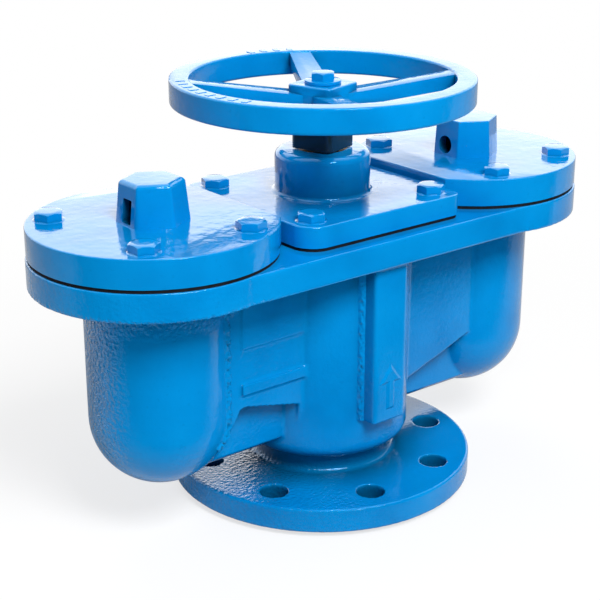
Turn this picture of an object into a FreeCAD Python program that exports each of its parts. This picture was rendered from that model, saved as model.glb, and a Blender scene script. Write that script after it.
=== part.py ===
import FreeCAD, Part
import math
import os
import re

import Sketcher

# Double-orifice air release valve with a screw-down isolating valve, in millimetres.
# The origin is the centre of the pipe flange's raised face, +Z points up the spindle,
# and +X points along the body towards the small-orifice chamber.

document = FreeCAD.newDocument("air_release_valve")
sizes = document.addObject("Spreadsheet::Sheet", "sizes")

DRIVING_SIZES = [
    # Pipe flange, DN80 with eight holes
    ("flange_diameter", 200),
    ("flange_thickness", 16),
    ("flange_rounding", 1),
    ("raised_face_margin", 34),
    ("raised_face_height", 3),
    ("hole_margin", 20),
    ("hole_diameter", 18),
    ("hole_turn", -16.4),
    ("inlet_diameter", 80),
    ("neck_wall", 6.5),
    ("neck_fillet", 4),
    # Central barrel and its bars
    ("bore_step", 9.5),
    ("barrel_wall", 8),
    ("barrel_floor", 31.5),
    ("barrel_rounding", 9),
    ("bar_width", 26.8),
    ("bar_proud", 11),
    ("bar_foot", 59),
    ("bar_rounding", 2.5),
    ("bar_fillet", 2),
    # Float chambers
    ("chamber_gap", 27.2),
    ("chamber_diameter", 88),
    ("chamber_wall", 7),
    ("chamber_axis_height", 78),
    ("float_clearance", 6),
    ("float_wall", 2.5),
    ("rest_gap", 0.5),
    ("rib_width", 5),
    ("rib_clearance", 1.2),
    ("rib_drop", 8),
    # Webs and passages between the chambers and the barrel
    ("web_inset", 8),
    ("web_drop", 5),
    ("pocket_depth", 11),
    ("pocket_rounding", 5),
    ("pocket_overlap", 10),
    ("pocket_lean", 12),
    ("left_pocket_height", 72),
    ("left_pocket_rise", 13),
    ("left_pocket_margin", 10.5),
    ("right_pocket_height", 64.5),
    ("right_pocket_rise", 20),
    ("right_pocket_margin", -6),
    ("passage_width", 52),
    ("passage_floor", 94),
    ("passage_cover", 13.6),
    ("passage_end", 15),
    ("drain_diameter", 20),
    ("drain_height", 62),
    ("drain_end", 10),
    ("label_inset", 21.5),
    ("label_drop", 8.6),
    ("label_length", 56),
    ("label_tall", 34.5),
    ("label_proud", 1.2),
    ("band_drop", 30.1),
    ("band_overhang", 2),
    ("band_width", 7),
    ("band_proud", 2),
    # Deck that carries the covers
    ("deck_height", 181.2),
    ("deck_thickness", 17.6),
    ("deck_side_lap", 9.5),
    ("deck_margin", 0.6),
    ("cast_fillet", 3),
    ("gasket_thickness", 2.2),
    ("gasket_inset", 0.6),
    # Chamber covers
    ("cover_lap", 31),
    ("cover_thickness", 17.6),
    ("cover_gap", 4.3),
    ("cover_edge", 1),
    ("cover_bolt_inset", 13.8),
    ("left_rear_inner_turn", 59),
    ("left_rear_outer_turn", 142),
    ("left_front_outer_turn", 232),
    ("left_front_inner_turn", 303),
    ("right_rear_outer_turn", 45),
    ("right_rear_inner_turn", 126.5),
    ("right_front_inner_turn", 244),
    ("right_front_outer_turn", 314),
    # Bonnet
    ("bonnet_end_lap", 5.5),
    ("bonnet_side_lap", 6.5),
    ("bonnet_thickness", 13.3),
    ("bonnet_corner", 15),
    ("bonnet_small_corner", 8),
    ("bolt_end_inset", 14),
    ("bolt_side_inset", 15),
    ("boss_diameter", 61),
    ("boss_height", 27.3),
    ("boss_fillet", 3),
    ("boss_shoulder", 5),
    # Hexagon bolts of the covers and the bonnet
    ("bolt_diameter", 10),
    ("bolt_head_flats", 16),
    ("bolt_head_height", 5.6),
    ("bolt_engagement", 14),
    ("bolt_end_gap", 1),
    ("bolt_hole_clearance", 1),
    # Vent caps
    ("cap_flats", 39),
    ("cap_height", 25),
    ("cap_taper_left", 5.4),
    ("cap_taper_right", 2.7),
    ("cap_corner_left", 4),
    ("cap_corner_right", 1.6),
    ("cap_edge_left", 3),
    ("cap_edge_right", 0.8),
    ("cap_wall", 5.5),
    ("cap_spigot_diameter", 34),
    ("cap_spigot_wall", 2.75),
    ("cap_spigot_length", 7),
    ("vent_diameter", 12),
    ("vent_height", 7.5),
    ("vent_offset", 1),
    ("slot_width", 9),
    ("slot_tall", 14.5),
    ("slot_height", 8.25),
    ("slot_offset", -1.1),
    ("slot_rounding", 1),
    # Orifices under the caps
    ("bush_diameter", 52),
    ("bush_step", 4),
    ("bush_flange", 4),
    ("large_orifice", 22),
    ("small_orifice", 3),
    ("nozzle_diameter", 16),
    ("seal_thickness", 4),
    ("seal_width", 8),
    # Isolating valve
    ("seat_depth", 5.5),
    ("seat_ring_step", 3.5),
    ("seat_ring_overhang", 2),
    ("seat_ring_height", 9),
    ("seat_lip_setback", 1),
    ("seat_lip_height", 2),
    ("seat_lip_width", 4),
    ("seat_gap", 0.3),
    ("valve_lift", 20),
    ("disc_clearance", 3.5),
    ("disc_thickness", 9),
    ("disc_rounding", 2),
    ("disc_rim_width", 2),
    ("disc_rubber_gap", 0.2),
    ("disc_rubber_thickness", 6),
    ("retainer_clearance", 5),
    ("retainer_thickness", 4),
    ("retainer_stud", 14),
    ("retainer_stud_length", 12),
    ("disc_hub_diameter", 36),
    ("disc_hub_height", 44),
    ("disc_hub_fillet", 6),
    ("guide_width", 6),
    ("guide_depth", 5),
    ("guide_clearance", 0.6),
    ("guide_overrun", 35),
    # Spindle, its nut and its sealing
    ("spindle_diameter", 16),
    ("spindle_chamfer", 1),
    ("spindle_end_gap", 3),
    ("running_clearance", 0.05),
    ("spindle_collar", 24),
    ("collar_depth", 4),
    ("collar_thickness", 6),
    ("collar_clearance", 0.3),
    ("thrust_bush_diameter", 34),
    ("thrust_bush_length", 8),
    ("thrust_housing", 44),
    ("spindle_nut_diameter", 26),
    ("spindle_nut_length", 15),
    ("stuffing_box_diameter", 26),
    ("stuffing_box_depth", 26),
    ("packing_length", 10),
    ("gland_diameter", 31),
    ("gland_length", 12),
    ("gland_recess", 0.5),
    ("gland_slot_width", 5),
    ("gland_slot_depth", 3),
    ("square_end", 14),
    ("square_gap", 1),
    # Handwheel
    ("wheel_diameter", 192),
    ("rim_width", 12.7),
    ("rim_depth", 16),
    ("rim_rounding", 1.5),
    ("spoke_tip_width", 13.4),
    ("spoke_root_width", 18.4),
    ("spoke_depth", 9),
    ("spoke_drop", 12.5),
    ("spoke_crest_drop", 0.3),
    ("spoke_count", 4),
    ("spoke_turn", 61),
    ("hub_height", 40.4),
    ("hub_drop", 4.9),
    ("hub_block_corner", 23.3),
    ("hub_block_depth", 17),
    ("hub_neck_corner", 21),
    ("hub_rounding", 4),
    ("hub_edge", 1.2),
    ("hub_gap", 1),
    ("washer_diameter", 23),
    ("washer_thickness", 2),
    ("washer_clearance", 0.2),
    ("wheel_bolt_diameter", 8),
    ("wheel_bolt_flats", 14),
    ("wheel_bolt_head", 5),
    ("wheel_bolt_length", 18),
    # Hidden overlap of shapes that are fused, and overrun of cuts
    ("overlap", 1),
]

for row, (size_name, number) in enumerate(DRIVING_SIZES, start=1):
    sizes.set("A%d" % row, size_name)
    sizes.set("B%d" % row, str(number))
    sizes.setAlias("B%d" % row, size_name)
document.recompute()

SIZE_NAMES = {size_name for size_name, number in DRIVING_SIZES}

# Heights and distances that several pieces share, worked out from the driving sizes
FLANGE_TOP = "(raised_face_height + flange_thickness)"
HOLE_CIRCLE_RADIUS = "(flange_diameter / 2 - hole_margin)"
BARREL_BORE = "(inlet_diameter / 2 + bore_step)"
BARREL_RADIUS = "(%s + barrel_wall)" % BARREL_BORE
BAR_REACH = "(%s + bar_proud)" % BARREL_RADIUS
CHAMBER_X = "(%s + chamber_gap + chamber_diameter / 2)" % BARREL_RADIUS
CHAMBER_BORE = "(chamber_diameter / 2 - chamber_wall)"
FLOAT_RADIUS = "(%s - float_clearance)" % CHAMBER_BORE
WEB_HALF = "(chamber_diameter / 2 - web_inset)"
WEB_AXIS = "(chamber_axis_height - web_drop)"
DECK_FOOT = "(deck_height - deck_thickness)"
WALL_TOP = "(deck_height - overlap)"
GASKET_TOP = "(deck_height + gasket_thickness)"
COVER_RADIUS = "(chamber_diameter / 2 + cover_lap)"
COVER_BOLT_RADIUS = "(%s - cover_bolt_inset)" % COVER_RADIUS
COVER_TOP = "(%s + cover_thickness)" % GASKET_TOP
BONNET_HALF_LENGTH = "(%s + bonnet_end_lap)" % BARREL_RADIUS
BONNET_HALF_WIDTH = "(%s + bonnet_side_lap)" % BARREL_RADIUS
COVER_CHORD = "(%s + cover_gap)" % BONNET_HALF_LENGTH
BONNET_TOP = "(%s + bonnet_thickness)" % GASKET_TOP
BOSS_TOP = "(%s + boss_height)" % BONNET_TOP
BUSH_FOOT = "(deck_height - bush_flange)"
BUSH_NECK = "(bush_diameter / 2 - bush_step)"
CAP_SEAT = "(%s - cap_spigot_length)" % COVER_TOP
STUFFING_FLOOR = "(%s - stuffing_box_depth)" % BOSS_TOP
GLAND_TOP = "(%s - gland_recess)" % BOSS_TOP
GLAND_SEAT = "(%s - gland_length)" % BOSS_TOP
SEAT_FLOOR = "(barrel_floor + seat_depth)"
RING_RADIUS = "(%s - seat_ring_step)" % BARREL_BORE
RING_BORE = "(inlet_diameter / 2 - seat_ring_overhang)"
RING_TOP = "(%s + seat_ring_height)" % SEAT_FLOOR
SEAT_TOP = "(%s + seat_lip_height)" % RING_TOP
RUBBER_FOOT = "(%s + seat_gap + valve_lift)" % SEAT_TOP
DISC_FOOT = "(%s + disc_rubber_thickness)" % RUBBER_FOOT
DISC_TOP = "(%s + disc_thickness)" % DISC_FOOT
DISC_RADIUS = "(%s - disc_clearance)" % BARREL_BORE
RUBBER_SEAT = "(%s - disc_rim_width)" % DISC_RADIUS
HUB_TOP = "(%s + disc_hub_height)" % DISC_TOP
SPINDLE_FOOT = "(%s + retainer_stud_length + spindle_end_gap)" % RUBBER_FOOT
COLLAR_TOP = "(%s - collar_depth)" % GASKET_TOP
COLLAR_FOOT = "(%s - collar_thickness)" % COLLAR_TOP
THRUST_TOP = "(%s - collar_clearance)" % COLLAR_FOOT
THRUST_FOOT = "(%s - thrust_bush_length)" % THRUST_TOP
RUNNING_RADIUS = "(spindle_diameter / 2 + running_clearance)"
WHEEL_HUB_FOOT = "(%s + hub_gap)" % BOSS_TOP
WHEEL_HUB_TOP = "(%s + hub_height)" % WHEEL_HUB_FOOT
WHEEL_TOP = "(%s + hub_drop)" % WHEEL_HUB_TOP
BOLT_FOOT = "(deck_height - bolt_engagement)"


def bound(expression):
    """The same expression with each size name pointing at the sheet."""
    return re.sub(r"[a-z_]+", lambda word: "sizes." + word.group(0)
                  if word.group(0) in SIZE_NAMES else word.group(0), expression)


def value(expression):
    """The number that an expression gives."""
    result = sizes.evalExpression(expression)
    return float(getattr(result, "Value", result))


def bind(item, **properties):
    """Bind properties to expressions; double underscores stand for dots."""
    for name, expression in properties.items():
        item.setExpression(name.replace("__", "."), bound(expression))


def place(item, x="0", y="0", z="0", turn=None, axis=(0, 0, 1)):
    """Put a primitive at a bound place, turned by a bound angle in degrees."""
    rotation = FreeCAD.Rotation(FreeCAD.Vector(*axis), value(turn) if turn else 0)
    item.Placement = FreeCAD.Placement(FreeCAD.Vector(value(x), value(y), value(z)), rotation)
    for name, expression in (("x", x), ("y", y), ("z", z)):
        if expression != "0":
            item.setExpression("Placement.Base." + name, bound(expression))
    if turn and re.search("[a-z]", turn):
        item.setExpression("Placement.Rotation.Angle", bound("(%s) * 1deg" % turn))
    return item


def cylinder(name, radius, height, x="0", y="0", z="0", turn=None, axis=(0, 0, 1)):
    item = document.addObject("Part::Cylinder", name)
    bind(item, Radius=radius, Height=height)
    return place(item, x, y, z, turn, axis)


def sphere(name, radius, x="0", y="0", z="0"):
    item = document.addObject("Part::Sphere", name)
    bind(item, Radius=radius)
    return place(item, x, y, z)


def box(name, length, width, height, x="0", y="0", z="0"):
    """A block centred on x and y that stands on z."""
    item = document.addObject("Part::Box", name)
    bind(item, Length=length, Width=width, Height=height)
    return place(item, "%s - (%s) / 2" % (x, length), "%s - (%s) / 2" % (y, width), z)


def prism(name, flats, height, x="0", y="0", z="0", turn="30"):
    """A hexagon bar of a width across flats."""
    item = document.addObject("Part::Prism", name)
    item.Polygon = 6
    bind(item, Circumradius="(%s) / 2 / cos(30deg)" % flats, Height=height)
    return place(item, x, y, z, turn)


def fuse(name, items):
    item = document.addObject("Part::MultiFuse", name)
    item.Shapes = items
    item.Refine = True
    return item


def cut(name, base, tool):
    item = document.addObject("Part::Cut", name)
    item.Base = base
    item.Tool = tool
    item.Refine = True
    return item


def group(name, items):
    item = document.addObject("Part::Compound", name)
    item.Links = items
    return item


def new_body(name):
    return document.addObject("PartDesign::Body", name)


def plane_of(body, role):
    return [plane for plane in body.Origin.OriginFeatures if plane.Role == role][0]


def new_sketch(body, name, role, offset="0"):
    """A sketch on one of the body's origin planes, moved along its normal."""
    sketch = body.newObject("Sketcher::SketchObject", name)
    sketch.AttachmentSupport = [(plane_of(body, role), "")]
    sketch.MapMode = "FlatFace"
    if offset != "0":
        sketch.AttachmentOffset = FreeCAD.Placement(FreeCAD.Vector(0, 0, value(offset)), FreeCAD.Rotation())
        sketch.setExpression("AttachmentOffset.Base.z", bound(offset))
    return sketch


def fix_point(sketch, geometry, point, x, y):
    """Hold one point of a sketch at a bound place."""
    for kind, expression, axis in (("DistanceX", x, -2), ("DistanceY", y, -1)):
        if expression == "0":
            sketch.addConstraint(Sketcher.Constraint("PointOnObject", geometry, point, axis))
            continue
        index = sketch.addConstraint(Sketcher.Constraint(kind, -1, 1, geometry, point, value(expression)))
        sketch.setExpression("Constraints[%d]" % index, bound(expression))


def rounded_corner(before, corner, after, radius):
    """The two tangent points, the centre and the turn of an arc in a corner."""
    to_before = (before - corner).normalize()
    to_after = (after - corner).normalize()
    half_angle = to_before.getAngle(to_after) / 2
    reach = radius / math.tan(half_angle)
    middle = (to_before + to_after).normalize()
    centre = corner + middle * (radius / math.sin(half_angle))
    left_turn = (corner - before).cross(after - corner).z > 0
    return corner + to_before * reach, corner + to_after * reach, centre, left_turn


def arc_between(first, last, centre, left_turn):
    """A circular arc from first to last about centre, and which of its ends is first."""
    radius = (first - centre).Length
    circle = Part.Circle(centre, FreeCAD.Vector(0, 0, 1), radius)
    begin, end = (first, last) if left_turn else (last, first)
    begin_angle = math.atan2(begin.y - centre.y, begin.x - centre.x)
    end_angle = math.atan2(end.y - centre.y, end.x - centre.x)
    if end_angle <= begin_angle:
        end_angle += 2 * math.pi
    return Part.ArcOfCircle(circle, begin_angle, end_angle), (1, 2) if left_turn else (2, 1)


def outline(sketch, corners):
    """A closed outline through bound corners, each (x, y) or (x, y, rounding)."""
    points = [FreeCAD.Vector(value(corner[0]), value(corner[1]), 0) for corner in corners]
    count = len(points)
    bends = {}
    for place_in_list, corner in enumerate(corners):
        if len(corner) == 3:
            before = points[place_in_list - 1]
            after = points[(place_in_list + 1) % count]
            bends[place_in_list] = rounded_corner(before, points[place_in_list], after, value(corner[2]))
    lines = []
    for start in range(count):
        end = (start + 1) % count
        start_point = bends[start][1] if start in bends else points[start]
        end_point = bends[end][0] if end in bends else points[end]
        lines.append(sketch.addGeometry(Part.LineSegment(start_point, end_point)))
    for here, corner in enumerate(corners):
        arriving = lines[here - 1]
        leaving = lines[here]
        if here not in bends:
            sketch.addConstraint(Sketcher.Constraint("Coincident", arriving, 2, leaving, 1))
            fix_point(sketch, leaving, 1, corner[0], corner[1])
            continue
        arc, ends = arc_between(*bends[here])
        bend = sketch.addGeometry(arc)
        sketch.addConstraint(Sketcher.Constraint("Tangent", arriving, 2, bend, ends[0]))
        sketch.addConstraint(Sketcher.Constraint("Tangent", bend, ends[1], leaving, 1))
        index = sketch.addConstraint(Sketcher.Constraint("Radius", bend, value(corner[2])))
        sketch.setExpression("Constraints[%d]" % index, bound(corner[2]))
        corner_point = sketch.addGeometry(Part.Point(points[here]), True)
        sketch.addConstraint(Sketcher.Constraint("PointOnObject", corner_point, 1, arriving))
        sketch.addConstraint(Sketcher.Constraint("PointOnObject", corner_point, 1, leaving))
        fix_point(sketch, corner_point, 1, corner[0], corner[1])


def circle(sketch, x, y, radius):
    centre = FreeCAD.Vector(value(x), value(y), 0)
    ring = sketch.addGeometry(Part.Circle(centre, FreeCAD.Vector(0, 0, 1), value(radius)))
    fix_point(sketch, ring, 3, x, y)
    index = sketch.addConstraint(Sketcher.Constraint("Radius", ring, value(radius)))
    sketch.setExpression("Constraints[%d]" % index, bound(radius))


def pad(body, sketch, length, midplane=False):
    feature = body.newObject("PartDesign::Pad", sketch.Name + "_pad")
    feature.Profile = sketch
    bind(feature, Length=length)
    feature.Midplane = midplane
    return feature


def pocket(body, sketch, length=None, outward=False):
    """Cut along the sketch; outward cuts towards the sketch's own normal."""
    feature = body.newObject("PartDesign::Pocket", sketch.Name + "_pocket")
    feature.Profile = sketch
    if length:
        bind(feature, Length=length)
    else:
        feature.Type = 1
    feature.Reversed = outward
    return feature


def revolve(body, sketch, kind="PartDesign::Revolution"):
    feature = body.newObject(kind, sketch.Name + "_turned")
    feature.Profile = sketch
    feature.ReferenceAxis = (sketch, ["V_Axis"])
    feature.Angle = 360
    return feature


def round_edges(body, radius, chosen, kind="PartDesign::Fillet"):
    """Round or bevel the edges of a body's last feature that a test picks."""
    document.recompute()
    base = body.Tip
    names = ["Edge%d" % number for number, edge in enumerate(base.Shape.Edges, start=1) if chosen(edge)]
    feature = body.newObject(kind, base.Name + "_edges")
    feature.Base = (base, names)
    bind(feature, **{"Radius" if kind.endswith("Fillet") else "Size": radius})
    return feature


def lies_at(height):
    """A test for edges that lie flat at a height."""
    level = value(height)
    return lambda edge: abs(edge.BoundBox.ZMin - level) < 0.01 and abs(edge.BoundBox.ZMax - level) < 0.01


def revolved_piece(name, corners, x="0"):
    """A body of one turned profile, given as radius and height."""
    body = new_body(name)
    sketch = new_sketch(body, name + "_profile", "XZ_Plane")
    outline(sketch, corners)
    revolve(body, sketch)
    return place(body, x)


def ring_corners(inner, outer, foot, top):
    return [(inner, foot), (outer, foot), (outer, top), (inner, top)]


SIDES = {"left": "-" + CHAMBER_X, "right": CHAMBER_X}


def barrel_with_flange():
    """Pipe flange, neck and barrel, turned about the spindle's axis."""
    raised_face = "flange_diameter / 2 - raised_face_margin"
    neck = "inlet_diameter / 2 + neck_wall"
    return revolved_piece("barrel_with_flange", [
        ("0", "0"),
        (raised_face, "0"),
        (raised_face, "raised_face_height"),
        ("flange_diameter / 2", "raised_face_height", "flange_rounding"),
        ("flange_diameter / 2", FLANGE_TOP, "flange_rounding"),
        (neck, FLANGE_TOP, "neck_fillet"),
        (neck, "barrel_floor"),
        (BARREL_RADIUS, "barrel_floor", "barrel_rounding"),
        (BARREL_RADIUS, WALL_TOP),
        ("0", WALL_TOP),
    ])


def chamber_shell(side):
    """A float chamber's outside, a cylinder with a round bottom."""
    x = SIDES[side]
    radius = "chamber_diameter / 2"
    return [
        cylinder(side + "_shell", radius, WALL_TOP + " - chamber_axis_height", x, z="chamber_axis_height"),
        sphere(side + "_bottom", radius, x, z="chamber_axis_height"),
    ]


def web():
    """The U-shaped web that joins the chambers to the barrel, with its four corner pockets."""
    body = new_body("web")
    section = new_sketch(body, "web_section", "YZ_Plane")
    low = "%s - %s" % (WEB_AXIS, WEB_HALF)
    outline(section, [
        ("-" + WEB_HALF, low, WEB_HALF + " * 0.999"),
        (WEB_HALF, low, WEB_HALF + " * 0.999"),
        (WEB_HALF, WALL_TOP),
        ("-" + WEB_HALF, WALL_TOP),
    ])
    pad(body, section, "2 * " + CHAMBER_X, midplane=True)
    floor = "(%s - pocket_depth)" % WEB_HALF
    near = "%s - pocket_overlap" % BARREL_RADIUS
    below = "%s - pocket_rounding" % low
    for face, offset, outward in (("front", floor, True), ("rear", "-" + floor, False)):
        for side, sign in (("left", "-1"), ("right", "1")):
            pot_wall = "%s - sqrt((chamber_diameter / 2)^2 - %s^2)" % (CHAMBER_X, WEB_HALF)
            far = "%s - %s_pocket_margin" % (pot_wall, side)
            rise = "%s_pocket_height + (%s - (%s)) * tan(%s_pocket_rise * 1deg)" % (side, far, near, side)
            sketch = new_sketch(body, "pocket_%s_%s" % (face, side), "XZ_Plane", offset)
            outline(sketch, [
                ("%s * (%s)" % (sign, near), side + "_pocket_height"),
                ("%s * (%s)" % (sign, far), rise, "pocket_rounding"),
                ("%s * (%s + pocket_lean)" % (sign, far), "%s - pocket_lean" % WEB_AXIS),
                ("%s * (%s + 2 * pocket_lean)" % (sign, far), below),
                ("%s * (%s)" % (sign, near), below),
            ])
            pocket(body, sketch, outward=outward)
    return body


def deck():
    """The long flange that carries both covers and the bonnet."""
    radius = COVER_RADIUS + " + deck_margin"
    return [
        cylinder("deck_left", radius, "deck_thickness", SIDES["left"], z=DECK_FOOT),
        cylinder("deck_right", radius, "deck_thickness", SIDES["right"], z=DECK_FOOT),
        box("deck_middle", "2 * " + CHAMBER_X, "2 * (%s + deck_side_lap)" % BONNET_HALF_WIDTH,
            "deck_thickness", z=DECK_FOOT),
    ]


def barrel_bar(side, sign):
    """An upright bar on the front or the rear of the barrel."""
    bar = new_body(side + "_bar")
    section = new_sketch(bar, side + "_bar_section", "XY_Plane", "bar_foot")
    face = "%s * %s" % (sign, BAR_REACH)
    root = "%s * (%s + overlap)" % (sign, BARREL_BORE)
    outline(section, [
        ("-bar_width / 2", face, "bar_rounding"),
        ("bar_width / 2", face, "bar_rounding"),
        ("bar_width / 2", root),
        ("-bar_width / 2", root),
    ])
    pad(bar, section, DECK_FOOT + " + overlap - bar_foot")
    return bar


def front_details():
    """The bars on the barrel, and the label pad and the band on the left web."""
    middle = "-(%s - label_inset + label_length / 2)" % BARREL_RADIUS
    label_foot = "(%s - label_drop - label_tall)" % DECK_FOOT
    band_foot = label_foot + " - band_drop"
    band_length = "label_length + band_overhang"
    pieces = [barrel_bar("front", "-1"), barrel_bar("rear", "1")]
    for name, length, tall, proud, foot in (
            ("label_pad", "label_length", "label_tall", "label_proud", label_foot),
            ("web_band", band_length, "band_width", "band_proud", band_foot)):
        depth = "(%s + overlap)" % proud
        y = "-(%s + %s - %s / 2)" % (WEB_HALF, proud, depth)
        pieces.append(box(name, length, depth, tall, middle, y, foot))
    return pieces


def casting_hollows():
    """Inlet, seat pocket, barrel bore, chambers and the passages between them."""
    overrun = "(deck_height + overlap)"
    hollows = [
        cylinder("inlet", "inlet_diameter / 2", SEAT_FLOOR + " + 2 * overlap", z="-overlap"),
        cylinder("seat_pocket", RING_RADIUS, "seat_ring_height", z=SEAT_FLOOR),
        cylinder("barrel_bore", BARREL_BORE, "%s - %s" % (overrun, RING_TOP), z=RING_TOP),
    ]
    for side, x in SIDES.items():
        hollows.append(cylinder(side + "_bore", CHAMBER_BORE, "%s - chamber_axis_height" % overrun,
                                x, z="chamber_axis_height"))
        hollows.append(sphere(side + "_bore_bottom", CHAMBER_BORE, x, z="chamber_axis_height"))
    hollows.append(box("passages", "2 * (%s - passage_end)" % CHAMBER_X, "passage_width",
                       DECK_FOOT + " - passage_cover - passage_floor", z="passage_floor"))
    hollows.append(cylinder("drains", "drain_diameter / 2", "2 * (%s - drain_end)" % CHAMBER_X,
                            "-(%s - drain_end)" % CHAMBER_X, z="drain_height", turn="90", axis=(0, 1, 0)))
    return hollows


def flange_holes():
    """Through holes of the pipe flange."""
    holes = []
    for number in range(8):
        angle = "(hole_turn + %d) * 1deg" % (number * 45)
        holes.append(cylinder("flange_hole_%d" % number, "hole_diameter / 2", FLANGE_TOP + " + 2 * overlap",
                              "%s * cos(%s)" % (HOLE_CIRCLE_RADIUS, angle),
                              "%s * sin(%s)" % (HOLE_CIRCLE_RADIUS, angle), "-overlap"))
    return holes


def bolt_places():
    """Where the hexagon bolts stand: per group, their x and y and the face under the heads."""
    along = "(%s - bolt_end_inset)" % BONNET_HALF_LENGTH
    across = "(%s - bolt_side_inset)" % BONNET_HALF_WIDTH
    corners = [(x_sign + along, y_sign + across) for x_sign in ("-", "") for y_sign in ("-", "")]
    places = {"bonnet_bolts": (BONNET_TOP, corners)}
    for side, x in SIDES.items():
        spots = []
        for corner in ("rear_inner", "rear_outer", "front_inner", "front_outer"):
            turn = "%s_%s_turn * 1deg" % (side, corner)
            spots.append(("%s + %s * cos(%s)" % (x, COVER_BOLT_RADIUS, turn),
                          "%s * sin(%s)" % (COVER_BOLT_RADIUS, turn)))
        places["cover_bolts_" + side] = (COVER_TOP, spots)
    return places


def tapped_holes():
    """Blind holes in the deck for the hexagon bolts."""
    holes = []
    depth = "bolt_engagement + bolt_end_gap + overlap"
    for name, (seat, spots) in bolt_places().items():
        for number, (x, y) in enumerate(spots):
            holes.append(cylinder("%s_tapping_%d" % (name, number), "bolt_diameter / 2", depth,
                                  x, y, BOLT_FOOT + " - bolt_end_gap"))
    return holes


def float_guides():
    """Four upright ribs in each chamber that guide the float ball."""
    reach = "(float_clearance - rib_clearance)"
    ribs = []
    for side, x in SIDES.items():
        for quarter in range(4):
            angle = "%d * 1deg" % (45 + quarter * 90)
            inner = "(%s - %s)" % (CHAMBER_BORE, reach)
            rib = document.addObject("Part::Box", "%s_rib_%d" % (side, quarter))
            bind(rib, Length=reach + " + 2 * overlap", Width="rib_width",
                 Height="deck_height - rib_drop - chamber_axis_height")
            place(rib, "%s + %s * cos(%s) + rib_width / 2 * sin(%s)" % (x, inner, angle, angle),
                  "%s * sin(%s) - rib_width / 2 * cos(%s)" % (inner, angle, angle),
                  "chamber_axis_height", str(45 + quarter * 90))
            ribs.append(rib)
    return ribs


def disc_guides():
    """Two upright keys in the barrel that keep the disc from turning."""
    keys = []
    for side, sign in (("front", "-"), ("rear", "")):
        keys.append(box("barrel_key_" + side, "guide_width", "guide_depth + overlap",
                        "valve_lift + disc_thickness + guide_overrun",
                        y="%s(%s + (overlap - guide_depth) / 2)" % (sign, BARREL_BORE), z=RING_TOP))
    return keys


def rounded(name, base, radius, chosen):
    """Round the edges of a Part shape that a test picks."""
    document.recompute()
    size = value(radius)
    edges = [(number, size, size) for number, edge in enumerate(base.Shape.Edges, start=1) if chosen(edge)]
    item = document.addObject("Part::Fillet", name)
    item.Base = base
    item.Edges = edges
    return item


def near(first, second, room=0.3):
    return abs(first - second) < room


def upright_at(x, y):
    """A test for upright edges at a distance each way from the middle."""
    across = value(x)
    depth = value(y)
    return lambda edge: (near(abs(edge.BoundBox.XMin), across) and near(abs(edge.BoundBox.XMax), across)
                         and near(abs(edge.BoundBox.YMin), depth) and near(abs(edge.BoundBox.YMax), depth)
                         and edge.BoundBox.ZMax - edge.BoundBox.ZMin > value("deck_thickness") / 2)


def under_deck(edge):
    """True for edges where the casting's walls meet the deck's underside."""
    level = value(DECK_FOOT)
    reach = max(abs(edge.BoundBox.YMin), abs(edge.BoundBox.YMax))
    flat = near(edge.BoundBox.ZMin, level, 0.06) and near(edge.BoundBox.ZMax, level, 0.06)
    return flat and reach < value(BAR_REACH + " + overlap")


def body_casting():
    outside = [barrel_with_flange(), web()] + deck() + front_details()
    for side in SIDES:
        outside += chamber_shell(side)
    solid = fuse("casting_outside", outside)
    solid = rounded("bar_roots_blended", solid, "bar_fillet", upright_at(
        "bar_width / 2", "sqrt(%s^2 - (bar_width / 2)^2)" % BARREL_RADIUS))
    solid = rounded("deck_roots_blended", solid, "cast_fillet", under_deck)
    hollow = fuse("casting_hollow", casting_hollows())
    holes = group("casting_holes", flange_holes() + tapped_holes())
    shell = cut("casting_shell", cut("casting_cored", solid, hollow), holes)
    return fuse("body_casting", [shell] + float_guides() + disc_guides())


def seat_ring():
    """Bronze ring in the casting, with a narrow raised lip for the disc."""
    lip_inner = "(%s + seat_lip_setback)" % RING_BORE
    return revolved_piece("seat_ring", [
        (RING_BORE, SEAT_FLOOR),
        (RING_RADIUS, SEAT_FLOOR),
        (RING_RADIUS, RING_TOP),
        (lip_inner + " + seat_lip_width", RING_TOP),
        (lip_inner + " + seat_lip_width", SEAT_TOP),
        (lip_inner, SEAT_TOP),
        (RING_BORE, RING_TOP),
    ])


def truncated_disc(sketch, side, radius):
    """A round cover's outline, cut off straight on the side of the bonnet."""
    x = value(SIDES[side])
    sign = "-" if side == "left" else ""
    chord_x = value(sign + COVER_CHORD)
    reach = math.sqrt(value(radius) ** 2 - (chord_x - x) ** 2)
    low = FreeCAD.Vector(chord_x, -reach, 0)
    high = FreeCAD.Vector(chord_x, reach, 0)
    chord = sketch.addGeometry(Part.LineSegment(low, high))
    arc, ends = arc_between(high, low, FreeCAD.Vector(x, 0, 0), side == "left")
    bow = sketch.addGeometry(arc)
    sketch.addConstraint(Sketcher.Constraint("Coincident", chord, 2, bow, ends[0]))
    sketch.addConstraint(Sketcher.Constraint("Coincident", bow, ends[1], chord, 1))
    fix_point(sketch, bow, 3, SIDES[side], "0")
    index = sketch.addConstraint(Sketcher.Constraint("Radius", bow, value(radius)))
    sketch.setExpression("Constraints[%d]" % index, bound(radius))
    sketch.addConstraint(Sketcher.Constraint("Vertical", chord))
    index = sketch.addConstraint(Sketcher.Constraint("DistanceX", -1, 1, chord, 1, chord_x))
    sketch.setExpression("Constraints[%d]" % index, bound(sign + COVER_CHORD))


def bolt_holes(body, name, spots, foot):
    """Clearance holes for a group of bolts, drilled up from a height."""
    sketch = new_sketch(body, name, "XY_Plane", foot)
    for x, y in spots:
        circle(sketch, x, y, "(bolt_diameter + bolt_hole_clearance) / 2")
    pocket(body, sketch, outward=True)


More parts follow.
